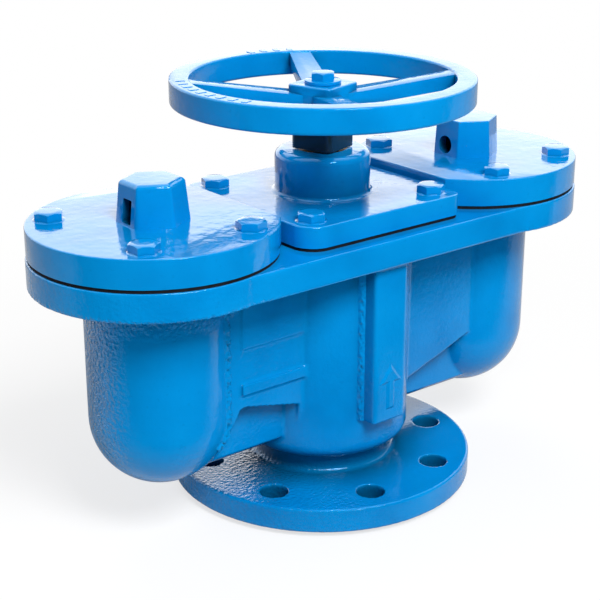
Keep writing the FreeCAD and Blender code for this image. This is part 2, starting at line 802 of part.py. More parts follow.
def gasket(name, draw, spots, hole_x, hole_radius):
    """A flat gasket with the outline of its cover."""
    body = new_body(name)
    sketch = new_sketch(body, name + "_outline", "XY_Plane", "deck_height")
    draw(sketch)
    circle(sketch, hole_x, "0", hole_radius)
    pad(body, sketch, "gasket_thickness")
    bolt_holes(body, name + "_holes", spots, "deck_height")
    return body


def rounded_rectangle(sketch, half_length, half_width, first_corner, other_corner):
    """A rectangle about the origin whose front left corner has a rounding of its own."""
    outline(sketch, [
        ("-" + half_length, "-" + half_width, first_corner),
        (half_length, "-" + half_width, other_corner),
        (half_length, half_width, other_corner),
        ("-" + half_length, half_width, other_corner),
    ])


def bonnet_outline(sketch, inset="0"):
    half_length = "(%s - %s)" % (BONNET_HALF_LENGTH, inset)
    half_width = "(%s - %s)" % (BONNET_HALF_WIDTH, inset)
    rounded_rectangle(sketch, half_length, half_width, "bonnet_corner", "bonnet_small_corner")


def diamond(sketch, reach, rounding):
    """A rounded square whose corners lie on the axes."""
    outline(sketch, [
        (reach, "0", rounding),
        ("0", reach, rounding),
        ("-" + reach, "0", rounding),
        ("0", "-" + reach, rounding),
    ])


def cover(side):
    """A chamber cover with a tapped middle for the cap above and the bush below."""
    name = "cover_" + side
    x = SIDES[side]
    body = new_body(name)
    sketch = new_sketch(body, name + "_outline", "XY_Plane", GASKET_TOP)
    truncated_disc(sketch, side, COVER_RADIUS)
    pad(body, sketch, "cover_thickness")
    round_edges(body, "cover_edge", lies_at(COVER_TOP))
    sketch = new_sketch(body, name + "_cap_hole", "XY_Plane", COVER_TOP)
    circle(sketch, x, "0", "cap_spigot_diameter / 2")
    pocket(body, sketch, "cap_spigot_length")
    sketch = new_sketch(body, name + "_bush_hole", "XY_Plane", GASKET_TOP)
    circle(sketch, x, "0", BUSH_NECK)
    pocket(body, sketch, "cover_thickness - cap_spigot_length", outward=True)
    bolt_holes(body, name + "_bolt_holes", bolt_places()["cover_bolts_" + side][1], GASKET_TOP)
    return body


ORIFICE_BORES = {"left": "large_orifice / 2", "right": "nozzle_diameter / 2"}


def orifice_bush(side):
    """Bronze bush screwed up into a cover; its bore is the orifice."""
    bore = ORIFICE_BORES[side]
    return revolved_piece("orifice_bush_" + side, [
        (bore, BUSH_FOOT),
        ("bush_diameter / 2", BUSH_FOOT),
        ("bush_diameter / 2", GASKET_TOP),
        (BUSH_NECK, GASKET_TOP),
        (BUSH_NECK, CAP_SEAT),
        (bore, CAP_SEAT),
    ], SIDES[side])


def orifice_seal(side):
    """Rubber ring on the bush that the float ball closes against."""
    bore = ORIFICE_BORES[side]
    return revolved_piece("orifice_seal_" + side, ring_corners(
        bore, bore + " + seal_width", BUSH_FOOT + " - seal_thickness", BUSH_FOOT), SIDES[side])


def small_nozzle():
    """The small orifice, a nozzle pressed into the right bush."""
    return revolved_piece("small_nozzle",
                          ring_corners("small_orifice / 2", "nozzle_diameter / 2", BUSH_FOOT, CAP_SEAT),
                          SIDES["right"])


def hexagon_corners(x, flats, corner):
    """A hexagon whose flats face along X, with rounded corners."""
    corners = []
    for sixth in range(6):
        angle = "%d * 1deg" % (30 + sixth * 60)
        reach = "(%s) / 2 / cos(30deg)" % flats
        corners.append(("%s + %s * cos(%s)" % (x, reach, angle) if sixth not in (1, 4) else x,
                        "%s * sin(%s)" % (reach, angle), corner))
    return corners


def vent_cap(side):
    """A cast hexagon cap, hollow, with a vent in the flat that faces along -X."""
    name = "vent_cap_" + side
    x = SIDES[side]
    body = new_body(name)
    foot = new_sketch(body, name + "_foot", "XY_Plane", COVER_TOP)
    outline(foot, hexagon_corners(x, "cap_flats", "cap_corner_" + side))
    shell = pad(body, foot, "cap_height")
    bind(shell, TaperAngle="-atan(cap_taper_%s / 2 / cap_height)" % side)
    round_edges(body, "cap_edge_" + side, lies_at(COVER_TOP + " + cap_height"))
    spigot = new_sketch(body, name + "_spigot", "XY_Plane", CAP_SEAT)
    circle(spigot, x, "0", "cap_spigot_diameter / 2")
    pad(body, spigot, "cap_spigot_length + overlap")
    hollow = new_sketch(body, name + "_hollow", "XY_Plane", CAP_SEAT)
    circle(hollow, x, "0", "cap_spigot_diameter / 2 - cap_spigot_wall")
    pocket(body, hollow, "cap_spigot_length + cap_height - cap_wall", outward=True)
    vent = new_sketch(body, name + "_vent", "YZ_Plane", x)
    if side == "left":
        near = "slot_offset - slot_width / 2"
        far = "slot_offset + slot_width / 2"
        low = COVER_TOP + " + slot_height - slot_tall / 2"
        high = COVER_TOP + " + slot_height + slot_tall / 2"
        slot = ((near, low), (far, low), (far, high), (near, high))
        outline(vent, [(across, up, "slot_rounding") for across, up in slot])
    else:
        circle(vent, "vent_offset", COVER_TOP + " + vent_height", "vent_diameter / 2")
    pocket(body, vent, "cap_flats / 2 + overlap")
    return body


def float_ball(side):
    """A hollow float ball that rests at the bottom of its chamber."""
    name = "float_ball_" + side
    height = "chamber_axis_height - float_clearance + rest_gap"
    body = new_body(name)
    x = SIDES[side]
    ball = body.newObject("PartDesign::AdditiveSphere", name + "_ball")
    bind(ball, Radius=FLOAT_RADIUS)
    hollow = body.newObject("PartDesign::SubtractiveSphere", name + "_hollow")
    bind(hollow, Radius=FLOAT_RADIUS + " - float_wall")
    return place(body, x, z=height)


def bonnet():
    """The rectangular bonnet plate with its round boss, stuffing box and thrust housing."""
    body = new_body("bonnet")
    sketch = new_sketch(body, "bonnet_plate", "XY_Plane", GASKET_TOP)
    bonnet_outline(sketch)
    pad(body, sketch, "bonnet_thickness")
    round_edges(body, "cover_edge", lies_at(BONNET_TOP))
    boss = new_sketch(body, "bonnet_boss", "XZ_Plane")
    skirt = "boss_diameter / 2 + 2 * boss_fillet"
    outline(boss, [
        ("0", THRUST_FOOT),
        ("thrust_housing / 2", THRUST_FOOT, "1.5"),
        ("thrust_housing / 2", GASKET_TOP + " + overlap"),
        (skirt, GASKET_TOP + " + overlap"),
        (skirt, BONNET_TOP),
        ("boss_diameter / 2", BONNET_TOP, "boss_fillet"),
        ("boss_diameter / 2", BOSS_TOP, "boss_shoulder"),
        ("0", BOSS_TOP),
    ])
    revolve(body, boss)
    bore = new_sketch(body, "bonnet_bores", "XZ_Plane")
    outline(bore, [
        ("0", THRUST_FOOT + " - overlap"),
        ("thrust_bush_diameter / 2", THRUST_FOOT + " - overlap"),
        ("thrust_bush_diameter / 2", THRUST_TOP),
        ("spindle_collar / 2 + collar_clearance", THRUST_TOP),
        ("spindle_collar / 2 + collar_clearance", COLLAR_TOP + " + collar_clearance"),
        (RUNNING_RADIUS, COLLAR_TOP + " + collar_clearance"),
        (RUNNING_RADIUS, STUFFING_FLOOR),
        ("stuffing_box_diameter / 2", STUFFING_FLOOR),
        ("stuffing_box_diameter / 2", GLAND_SEAT),
        ("gland_diameter / 2", GLAND_SEAT),
        ("gland_diameter / 2", BOSS_TOP + " + overlap"),
        ("0", BOSS_TOP + " + overlap"),
    ])
    revolve(body, bore, "PartDesign::Groove")
    bolt_holes(body, "bonnet_bolt_holes", bolt_places()["bonnet_bolts"][1], GASKET_TOP)
    return body


def thrust_bush():
    """Bronze bush under the spindle's collar, screwed into the bonnet."""
    return revolved_piece("thrust_bush", ring_corners(
        RUNNING_RADIUS, "thrust_bush_diameter / 2", THRUST_FOOT, THRUST_TOP))


def gland_packing():
    return revolved_piece("gland_packing", ring_corners(
        RUNNING_RADIUS, "stuffing_box_diameter / 2", STUFFING_FLOOR, STUFFING_FLOOR + " + packing_length"))


def gland_nut():
    """Round slotted gland nut, screwed into the boss, that presses on the packing."""
    body = new_body("gland_nut")
    profile = new_sketch(body, "gland_profile", "XZ_Plane")
    outline(profile, [
        (RUNNING_RADIUS, STUFFING_FLOOR + " + packing_length"),
        ("stuffing_box_diameter / 2", STUFFING_FLOOR + " + packing_length"),
        ("stuffing_box_diameter / 2", GLAND_SEAT),
        ("gland_diameter / 2", GLAND_SEAT),
        ("gland_diameter / 2", GLAND_TOP),
        (RUNNING_RADIUS, GLAND_TOP),
    ])
    revolve(body, profile)
    slot = new_sketch(body, "gland_slot", "XY_Plane", GLAND_TOP)
    rounded_rectangle(slot, "gland_slot_width / 2", "(gland_diameter / 2 + overlap)", "0.5", "0.5")
    pocket(body, slot, "gland_slot_depth")
    return body


def spindle():
    """The spindle, with its thrust collar and the square end that carries the wheel."""
    body = new_body("spindle")
    profile = new_sketch(body, "spindle_profile", "XZ_Plane")
    outline(profile, [
        ("0", SPINDLE_FOOT),
        ("spindle_diameter / 2 - spindle_chamfer", SPINDLE_FOOT),
        ("spindle_diameter / 2", SPINDLE_FOOT + " + spindle_chamfer"),
        ("spindle_diameter / 2", COLLAR_FOOT),
        ("spindle_collar / 2", COLLAR_FOOT),
        ("spindle_collar / 2", COLLAR_TOP),
        ("spindle_diameter / 2", COLLAR_TOP),
        ("spindle_diameter / 2", WHEEL_HUB_FOOT),
        ("0", WHEEL_HUB_FOOT),
    ])
    revolve(body, profile)
    square = new_sketch(body, "spindle_square", "XY_Plane", WHEEL_HUB_FOOT + " - overlap")
    diamond(square, "square_end / sqrt(2)", "1")
    pad(body, square, "%s - square_gap - (%s - overlap)" % (WHEEL_HUB_TOP, WHEEL_HUB_FOOT))
    drilling = new_sketch(body, "spindle_tapping", "XY_Plane", WHEEL_HUB_TOP + " - square_gap")
    circle(drilling, "0", "0", "wheel_bolt_diameter / 2")
    pocket(body, drilling, "wheel_bolt_length + 2 * overlap")
    return place(body, turn="spoke_turn")


def spindle_nut():
    """Bronze nut in the top of the disc's hub, driven by the spindle's thread."""
    return revolved_piece("spindle_nut", ring_corners(
        RUNNING_RADIUS, "spindle_nut_diameter / 2", HUB_TOP + " - spindle_nut_length", HUB_TOP))


def isolating_disc():
    """The isolating disc and its tubular hub, notched for the keys in the barrel."""
    body = new_body("isolating_disc")
    profile = new_sketch(body, "disc_profile", "XZ_Plane")
    rim_foot = DISC_FOOT + " - disc_rubber_thickness / 2"
    nut_foot = HUB_TOP + " - spindle_nut_length"
    stud_end = RUBBER_FOOT + " + retainer_stud_length + overlap"
    outline(profile, [
        ("retainer_stud / 2", DISC_FOOT),
        (RUBBER_SEAT, DISC_FOOT),
        (RUBBER_SEAT, rim_foot),
        (DISC_RADIUS, rim_foot),
        (DISC_RADIUS, DISC_TOP, "disc_rounding"),
        ("disc_hub_diameter / 2", DISC_TOP, "disc_hub_fillet"),
        ("disc_hub_diameter / 2", HUB_TOP, "disc_rounding"),
        ("spindle_nut_diameter / 2", HUB_TOP),
        ("spindle_nut_diameter / 2", nut_foot),
        ("spindle_diameter / 2 + overlap", nut_foot),
        ("spindle_diameter / 2 + overlap", stud_end),
        ("retainer_stud / 2", stud_end),
    ])
    revolve(body, profile)
    for sign, side in (("-", "front"), ("", "rear")):
        notch = new_sketch(body, "disc_notch_" + side, "XY_Plane", RUBBER_FOOT)
        inner = "(%s - guide_depth - guide_clearance)" % BARREL_BORE
        outer = "(%s + overlap)" % DISC_RADIUS
        width = "(guide_width / 2 + guide_clearance)"
        outline(notch, [
            ("-" + width, sign + inner),
            (width, sign + inner),
            (width, sign + outer),
            ("-" + width, sign + outer),
        ])
        pocket(body, notch, outward=True)
    return body


def disc_rubber():
    """Rubber ring under the disc that closes on the seat ring's lip."""
    return revolved_piece("disc_rubber", ring_corners(
        "retainer_stud / 2", RUBBER_SEAT + " - disc_rubber_gap", RUBBER_FOOT, DISC_FOOT))


def disc_retainer():
    """Plate with a stud that clamps the rubber to the disc."""
    plate = "%s - retainer_clearance" % RING_BORE
    return revolved_piece("disc_retainer", [
        ("0", RUBBER_FOOT + " - retainer_thickness"),
        (plate, RUBBER_FOOT + " - retainer_thickness", "1.5"),
        (plate, RUBBER_FOOT),
        ("retainer_stud / 2", RUBBER_FOOT),
        ("retainer_stud / 2", RUBBER_FOOT + " + retainer_stud_length"),
        ("0", RUBBER_FOOT + " + retainer_stud_length"),
    ])


def handwheel():
    """The wheel: four dished spokes, a flat-topped rim and a square hub with its corners on the spokes."""
    body = new_body("handwheel")
    rim_inner = "(wheel_diameter / 2 - rim_width)"
    rim_foot = "(%s - rim_depth)" % WHEEL_TOP
    rim_middle = "(wheel_diameter / 2 - rim_width / 2)"
    crest = "(%s - spoke_crest_drop)" % WHEEL_TOP
    dish = new_sketch(body, "wheel_dish", "XZ_Plane")
    outline(dish, [
        ("0", crest + " - spoke_drop - spoke_depth"),
        (rim_middle, crest + " - spoke_depth"),
        (rim_middle, crest),
        ("0", crest + " - spoke_drop"),
    ])
    revolve(body, dish)
    window = new_sketch(body, "wheel_window", "XY_Plane", WHEEL_TOP)
    outline(window, [
        ("spoke_root_width / 2", "spoke_root_width / 2", "hub_rounding"),
        ("wheel_diameter / 2", "spoke_tip_width / 2"),
        ("wheel_diameter / 2", "wheel_diameter / 2"),
        ("spoke_tip_width / 2", "wheel_diameter / 2"),
    ])
    first_window = pocket(body, window)
    document.recompute()
    windows = body.newObject("PartDesign::PolarPattern", "wheel_windows")
    windows.Originals = [first_window]
    windows.Axis = (window, ["N_Axis"])
    windows.Angle = 360
    bind(windows, Occurrences="spoke_count")
    body.Tip = windows
    document.recompute()
    rim = new_sketch(body, "wheel_rim", "XZ_Plane")
    outline(rim, [
        (rim_inner, rim_foot, "rim_rounding"),
        ("wheel_diameter / 2", rim_foot, "rim_rounding"),
        ("wheel_diameter / 2", WHEEL_TOP, "rim_rounding"),
        (rim_inner, WHEEL_TOP, "rim_rounding"),
    ])
    revolve(body, rim)
    block_foot = "(%s - hub_block_depth)" % WHEEL_HUB_TOP
    neck = new_sketch(body, "wheel_neck", "XY_Plane", WHEEL_HUB_FOOT)
    diamond(neck, "hub_neck_corner", "hub_rounding")
    pad(body, neck, "%s + overlap - %s" % (block_foot, WHEEL_HUB_FOOT))
    block = new_sketch(body, "wheel_block", "XY_Plane", block_foot)
    diamond(block, "hub_block_corner", "hub_rounding")
    pad(body, block, "hub_block_depth")
    round_edges(body, "hub_edge", lies_at(WHEEL_HUB_TOP))
    socket = new_sketch(body, "wheel_square_hole", "XY_Plane", WHEEL_HUB_TOP)
    diamond(socket, "(square_end / 2 + running_clearance) * sqrt(2)", "1")
    pocket(body, socket)
    return place(body, turn="spoke_turn")


def handwheel_washer():
    """Washer under the wheel's bolt."""
    return revolved_piece("handwheel_washer", ring_corners(
        "wheel_bolt_diameter / 2 + washer_clearance", "washer_diameter / 2",
        WHEEL_HUB_TOP, WHEEL_HUB_TOP + " + washer_thickness"))


def handwheel_bolt():
    """The bolt that holds the wheel on the spindle."""
    seat = WHEEL_HUB_TOP + " + washer_thickness"
    shank = cylinder("wheel_bolt_shank", "wheel_bolt_diameter / 2",
                     "wheel_bolt_length + overlap", z=seat + " - wheel_bolt_length")
    head = prism("wheel_bolt_hexagon", "wheel_bolt_flats", "wheel_bolt_head", z=seat)
    return fuse("handwheel_bolt", [shank, head])


FIRST_HEAD_TURN = 30
HEAD_TURN_STEP = 17


def bolt_group(name):
    """Four hexagon bolts as one group of separate solids."""
    seat, spots = bolt_places()[name]
    bolts = []
    for number, (x, y) in enumerate(spots):
        label = "%s_%d" % (name, number)
        shank = cylinder(label + "_shank", "bolt_diameter / 2", "%s + overlap - %s" % (seat, BOLT_FOOT),
                         x, y, BOLT_FOOT)
        head = prism(label + "_head", "bolt_head_flats", "bolt_head_height", x, y, seat,
                     str(FIRST_HEAD_TURN + number * HEAD_TURN_STEP))
        bolts.append(fuse(label, [shank, head]))
    return group(name, bolts)


def all_pieces():
    spots = bolt_places()
    gasket_radius = COVER_RADIUS + " - gasket_inset"
    pieces = [body_casting(), seat_ring()]
    for side in SIDES:
        pieces += [
            gasket("gasket_" + side, lambda sketch: truncated_disc(sketch, side, gasket_radius),
                   spots["cover_bolts_" + side][1], SIDES[side], CHAMBER_BORE),
            cover(side),
            orifice_bush(side),
            orifice_seal(side),
            vent_cap(side),
            float_ball(side),
            bolt_group("cover_bolts_" + side),
        ]
    pieces += [
        small_nozzle(),
        gasket("gasket_bonnet", lambda sketch: bonnet_outline(sketch, "gasket_inset"),
               spots["bonnet_bolts"][1], "0", BARREL_BORE),
        bonnet(),
        bolt_group("bonnet_bolts"),
        thrust_bush(),
        gland_packing(),
        gland_nut(),
        spindle(),
        spindle_nut(),
        isolating_disc(),
        disc_rubber(),
        disc_retainer(),
        handwheel(),
        handwheel_washer(),
        handwheel_bolt(),
    ]
    return pieces


def check(pieces):
    """Stop if anything in the document failed or a piece is not a sound solid."""
    for item in document.Objects:
        if "Invalid" in item.State or "Error" in item.State:
            raise RuntimeError("%s is %s" % (item.Name, item.State))
    for piece in pieces:
        if piece.Shape.isNull() or not piece.Shape.isValid() or not piece.Shape.Solids:
            raise RuntimeError("%s has no sound shape" % piece.Label)


pieces = all_pieces()
document.recompute()
check(pieces)
os.makedirs("parts", exist_ok=True)
for piece in pieces:
    piece.Shape.exportStep("parts/%s.step" % piece.Label)
    solid_box = piece.Shape.BoundBox
    print("%-22s solids %d volume %9.0f  x %7.1f %7.1f  y %7.1f %7.1f  z %7.1f %7.1f" % (
        piece.Label, len(piece.Shape.Solids), piece.Shape.Volume, solid_box.XMin, solid_box.XMax,
        solid_box.YMin, solid_box.YMax, solid_box.ZMin, solid_box.ZMax))
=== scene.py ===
import math

import bmesh
import bpy
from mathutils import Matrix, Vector, noise


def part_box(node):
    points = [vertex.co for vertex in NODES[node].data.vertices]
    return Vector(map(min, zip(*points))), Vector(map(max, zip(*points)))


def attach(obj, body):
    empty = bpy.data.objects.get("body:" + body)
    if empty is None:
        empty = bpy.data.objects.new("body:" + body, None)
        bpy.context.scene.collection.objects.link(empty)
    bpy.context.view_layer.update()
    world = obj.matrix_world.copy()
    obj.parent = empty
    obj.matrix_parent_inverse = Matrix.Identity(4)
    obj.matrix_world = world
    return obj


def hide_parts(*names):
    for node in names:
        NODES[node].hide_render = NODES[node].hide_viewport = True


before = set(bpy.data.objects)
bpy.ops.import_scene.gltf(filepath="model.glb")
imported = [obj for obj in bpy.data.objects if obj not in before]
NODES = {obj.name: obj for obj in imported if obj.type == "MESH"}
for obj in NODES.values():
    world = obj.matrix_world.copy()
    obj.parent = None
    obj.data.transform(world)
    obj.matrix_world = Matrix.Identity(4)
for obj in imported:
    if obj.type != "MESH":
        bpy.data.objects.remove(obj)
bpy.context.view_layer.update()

MM = 0.001

# Places that the frame gives, in metres
DECK_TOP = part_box("body_casting")[1][2]
COVER_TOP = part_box("cover_left")[1][2]
CHAMBER_X = (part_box("float_ball_right")[0][0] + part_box("float_ball_right")[1][0]) / 2
WHEEL_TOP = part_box("handwheel")[1][2]
WHEEL_RADIUS = (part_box("handwheel")[1][1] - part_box("handwheel")[0][1]) / 2
WHEEL_BOLT_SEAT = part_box("handwheel_washer")[1][2]
WHEEL_BOLT_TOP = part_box("handwheel_bolt")[1][2]

# Sizes of the casting and the bonnet that the boxes don't give
BONNET_DROP = 4.3 * MM
DECK_THICKNESS = 17.6 * MM
CHAMBER_RADIUS = 44.0 * MM
CHAMBER_AXIS_HEIGHT = 78.0 * MM
WEB_FACE = 36.0 * MM
BARREL_RADIUS = 57.5 * MM
BAR_FACE = 68.5 * MM
BAR_HALF = 13.4 * MM
BAR_FOOT = 59.0 * MM
RIM_WIDTH = 12.7 * MM
BONNET_TOP = COVER_TOP - BONNET_DROP
DECK_FOOT = DECK_TOP - DECK_THICKNESS

# Arrow on the front bar
ARROW_SHAFT = 2.4 * MM
ARROW_HALF = 7.5 * MM
ARROW_HEAD = 10.0 * MM
ARROW_LENGTH = 28.0 * MM
ARROW_START = BAR_FOOT + 9.0 * MM

# The arrow's slopes: how far each of their edges stands out, and how far the outline grows there
ARROW_LEVELS = ((-0.5 * MM, 1.8 * MM), (1.2 * MM, -0.8 * MM))

# Ticks on the wheel's rim, with their places as angles in degrees
TICK_WIDTH = 2.2
TICK_STEP = 6
TICK_GROUPS = ((152, 206), (64, 88))
TICK_MARGIN = 3.0 * MM
TICK_SINK = 0.4 * MM
TICK_RISE = 0.3 * MM
TICK_SLOPE = 0.5 * MM

# Bolt heads, with turns in degrees
BOLT_FLATS = 16.0 * MM
BOLT_HEAD = 5.6 * MM
BOLT_SPACING = 25.0 * MM
BOLT_TURN_STEP = 19
WHEEL_BOLT_FLATS = 14.0 * MM
WHEEL_BOLT_TURN = 20

# The enamel round a bolt's foot: shares of the bolt's radius and heights
SKIRT_LEVELS = ((1.22, 0.0), (1.14, 0.35 * MM), (1.04, 0.6 * MM), (0.96, 0.9 * MM))

# Rough beads in the casting's corners: their reach along either wall and how deep their edges lie
BEAD_REACH = 3.2 * MM
BEAD_SINK = 0.3 * MM

# How proud a bead is and how high its lumps are
WEB_BEAD = (1.3 * MM, 2.2 * MM)
BAR_BEAD = (0.9 * MM, 1.2 * MM)

# Coarse and fine lumps: a scale per metre along the bead, a scale across it and a share of the height
LUMPS = ((330.0, 4.0, 1.0), (800.0, 9.0, 0.7))

# Camera of the photograph: turn and tilt in degrees, lens and sensor in millimetres
CAMERA_PLACE = (-567.96 * MM, -683.89 * MM, 447.55 * MM)
CAMERA_TURN = -38.79
CAMERA_TILT = 20.18
CAMERA_LENS = 86.29
CAMERA_SENSOR = 36.0

# Level direction from the middle towards the outer side of the left chamber
OUTER_SIDE = (-0.78, 0.63, 0.0)

# Level direction away from the studio's dark side, which gloss on the front faces shows
FROM_DARK = (0.33, 0.94, 0.0)

# Towards the studio's brightest part
TO_BRIGHT = (FROM_DARK[0], FROM_DARK[1], 0.9)

# Colours as linear light
PAINT = (0.0004, 0.250, 0.635)
PAINT_DARK = (0.0003, 0.205, 0.545)
PAINT_LIGHT = (0.0015, 0.280, 0.680)
PAINT_GLINT = (0.0, 0.30, 0.70)
# Painted shade that corners and the places under overhangs get
PAINT_SHADE = (0.0002, 0.035, 0.085)
RUBBER = (0.004, 0.004, 0.006)
RUBBER_LIGHT = (0.012, 0.012, 0.016)
# Painted shade with grease on the wheel's neck, under the wheel
NECK_SHADE_AND_GREASE = (0.012, 0.026, 0.032)
BRONZE = ((0.42, 0.24, 0.09), (0.60, 0.38, 0.16))
STEEL = ((0.42, 0.42, 0.43), (0.62, 0.62, 0.63))
IRON = ((0.05, 0.05, 0.055), (0.10, 0.10, 0.105))
FLOOR = ((0.60, 0.60, 0.60), (0.64, 0.64, 0.64))
FLOOR_TO_CAMERA = (0.95, 0.95, 0.95)
WHITE = (1.0, 1.0, 1.0)
NEAR_BLACK = (0.01, 0.01, 0.011)

# Bumps in the enamel: a noise scale per metre and a height in metres for each layer
CAST_LAYERS = [(70.0, 2.0 * MM), (430.0, 8.0 * MM)]
MACHINED_LAYERS = [(60.0, 0.8 * MM), (190.0, 0.35 * MM)]
WHEEL_LAYERS = [(75.0, 1.0 * MM), (300.0, 0.35 * MM)]

# Noises: a scale in features per metre, and how detailed each is
DRIFT = (16.0, 3.0)
PITS = (420.0, 2.0)
PATCHES = (22.0, 3.0)
MOTTLE = (300.0, 4.0)
TURNING_MARKS = (60.0, 2.0)
FLOOR_MOTTLE = (3.0, 4.0)
LAYER_DETAIL = 2.0

# How far away walls still count as a corner, where the enamel gets painted shade
SHADE_REACH = 34.0 * MM

# Ranges: two ends of a value, and what it becomes at either end
# Painted shade: how the occlusion from nearby walls darkens the enamel
CORNER_SHADE = (0.32, 0.86, 0.92, 0.0)
HOLLOWS = (0.36, 0.26, 0.0, 0.55)
# Painted shade with grease: the heights below which the wheel's neck darkens
NECK_SHADE_HEIGHTS = (BONNET_TOP + 50 * MM, BONNET_TOP + 60 * MM, 1.0, 0.0)
FLOOR_DARK = (-0.10, -0.18, 0.0, 1.0)
FLOOR_WHITE = (0.15, 0.60, 0.70, 1.0)
STUDIO_GLOSS = (0.25, 0.95, 0.02, 2.1)

# Ranges for sand grain, by place in metres, apart from the patches, which go by noise
OUTER_AXIS = CHAMBER_X * -OUTER_SIDE[0]
GRAIN_OUTWARD = (OUTER_AXIS + 12 * MM, OUTER_AXIS + 36 * MM, 0.04, 1.0)
GRAIN_HIGH = (DECK_FOOT - 26 * MM, DECK_FOOT - 6 * MM, 0.0, 1.0)
GRAIN_LEFT = (-70 * MM, -110 * MM, 0.0, 0.9)
GRAIN_PATCHES = (0.50, 0.66, 0.0, 0.07)
GRAIN_BELOW_DECK = (DECK_FOOT + 3 * MM, DECK_FOOT - 1 * MM, 0.10, 1.0)
GRAIN_ABOVE_FLANGE = (21 * MM, 26 * MM, 0.0, 1.0)
GRAIN_ON_FLANGE = (26 * MM, 21 * MM, 0.0, 0.25)
GRAIN_LEFT_OF_FLANGE = (-5 * MM, -45 * MM, 0.10, 1.0)

# Angles in degrees: edges over a crease are rounded or split for shading, and faces that meet at
# less than the flatness count as one plane
CREASE = 34
FLATNESS = 0.6
ARROW_CREASE = 15
BEAD_CREASE = 80

# Corners closer than this are one
WELD_REACH = 0.01 * MM

# How wide rounded edges are
WHEEL_EDGE = 0.9 * MM
DISC_EDGE = 0.4 * MM
FINE_EDGE = 0.3 * MM

# The floor's half width and how far it lies under the object
FLOOR_HALF = 6.0
FLOOR_DROP = 0.2 * MM

# The studio's plain light all round, and how bright it is to the camera
STUDIO_LIGHT = 0.34
STUDIO_TO_CAMERA = 1.0

# Lights, with places and sizes in metres and power in watts: only the key one shows in gloss
LIGHT_TARGET = (0, 0, 0.15)
KEY_LIGHT = {"place": (-0.25, -1.08, 1.30), "size": 0.6, "power": 26.5, "glossy": True}
BACK_LIGHT = {"place": (0.45, 1.25, 1.05), "size": 1.0, "power": 7.0, "glossy": False}


class Nodes:
    """Makes and links the nodes of one tree. A source is another node's output or a plain value."""

    def __init__(self, tree):
        self.tree = tree

    def node(self, kind, **settings):
        """A new node, with its sockets and properties set by name."""
        made = self.tree.nodes.new(kind)
        for name, setting in settings.items():
            if name in made.inputs:
                made.inputs[name].default_value = setting
            else:
                setattr(made, name, setting)
        return made

    def feed(self, socket, source):
        """Give a socket its source."""
        if isinstance(source, bpy.types.NodeSocket):
            self.tree.links.new(source, socket)
        else:
            socket.default_value = source

    def place(self):
        """The shaded point in its object's frame."""
        return self.node("ShaderNodeTexCoord").outputs["Object"]

    def axis(self, letter):
        """One coordinate of the shaded point."""
        split = self.node("ShaderNodeSeparateXYZ")
        self.feed(split.inputs["Vector"], self.place())
        return split.outputs[letter]

    def along(self, point, direction):
        """How far a point lies in a direction."""
        made = self.node("ShaderNodeVectorMath", operation="DOT_PRODUCT")
        self.feed(made.inputs[0], point)
        self.feed(made.inputs[1], direction)
        return made.outputs["Value"]

    def reckon(self, operation, first, second, clamp=False):
        """One operation on two values."""
        made = self.node("ShaderNodeMath", operation=operation, use_clamp=clamp)
        self.feed(made.inputs[0], first)
        self.feed(made.inputs[1], second)
        return made.outputs["Value"]

    def between(self, source, low, high, low_out, high_out, interpolation="LINEAR"):
        """A value moved from one range to another and held at the ends."""
        made = self.node("ShaderNodeMapRange", interpolation_type=interpolation)
        ends = {"Value": source, "From Min": low, "From Max": high, "To Min": low_out, "To Max": high_out}
        for name, end in ends.items():
            self.feed(made.inputs[name], end)
        return made.outputs["Result"]

    def mix(self, factor, first, second, kind="FLOAT"):
        """A blend of two values or colours by a factor."""
        made = self.node("ShaderNodeMix", data_type=kind)
        self.feed(made.inputs["Factor"], factor)
        self.feed(made.inputs["A"], first)
        self.feed(made.inputs["B"], second)
        return made.outputs["Result"]

    def blend(self, factor, first, second_colour):
        """A blend of a colour source and one plain colour."""
        return self.mix(factor, first, (*second_colour, 1), "RGBA")


class Shader(Nodes):
    """A material with one main surface."""

    def __init__(self, name):
        self.material = bpy.data.materials.new(name)
        self.material.use_nodes = True
        super().__init__(self.material.node_tree)
        self.surface = self.tree.nodes["Principled BSDF"]

    def set(self, **values):
        """Constants on the surface's own sockets."""
        for name, number in values.items():
            self.surface.inputs[name.replace("_", " ")].default_value = number

    def colour(self, source):
        self.feed(self.surface.inputs["Base Color"], source)

    def noise(self, scale, detail, place=None):
        """Noise with a scale of features per metre."""
        made = self.node("ShaderNodeTexNoise", Scale=scale, Detail=detail, Roughness=0.5)
        self.feed(made.inputs["Vector"], self.place() if place is None else place)
        return made.outputs["Fac"]

    def ramp(self, source, stops):
        """Colour stops, each a position and a colour, driven by a value."""
        made = self.node("ShaderNodeValToRGB")
        band = made.color_ramp
        while len(band.elements) < len(stops):
            band.elements.new(0.5)
        for element, (position, colour) in zip(band.elements, stops):
            element.position = position
            element.color = (*colour, 1)
        self.feed(made.inputs["Fac"], source)
        return made.outputs["Color"]

    def rough_layers(self, layers):
        """Noise bump layers from pairs of a scale and a height in metres."""
        return [(self.noise(scale, LAYER_DETAIL), 1.0, height) for scale, height in layers]

    def bumps(self, layers, socket="Normal", mask=None):
        """Stack bump layers, each a source, a strength and a height. A mask replaces the strengths."""
        last = None
        for source, strength, height in layers:
            made = self.node("ShaderNodeBump", Strength=strength, Distance=height)
            self.feed(made.inputs["Height"], source)
            if mask:
                self.feed(made.inputs["Strength"], mask)
            if last:
                self.feed(made.inputs["Normal"], last)
            last = made.outputs["Normal"]
        self.feed(self.surface.inputs[socket], last)


def left_chamber_grain(shader):
    """Sand grain on the left chamber, on its outer side and close under the deck, from 0 to 1."""
    outer = shader.between(shader.along(shader.place(), OUTER_SIDE), *GRAIN_OUTWARD)
    high = shader.between(shader.axis("Z"), *GRAIN_HIGH)
    left = shader.between(shader.axis("X"), *GRAIN_LEFT)
    return shader.reckon("MAXIMUM", outer, shader.reckon("MULTIPLY", high, left))


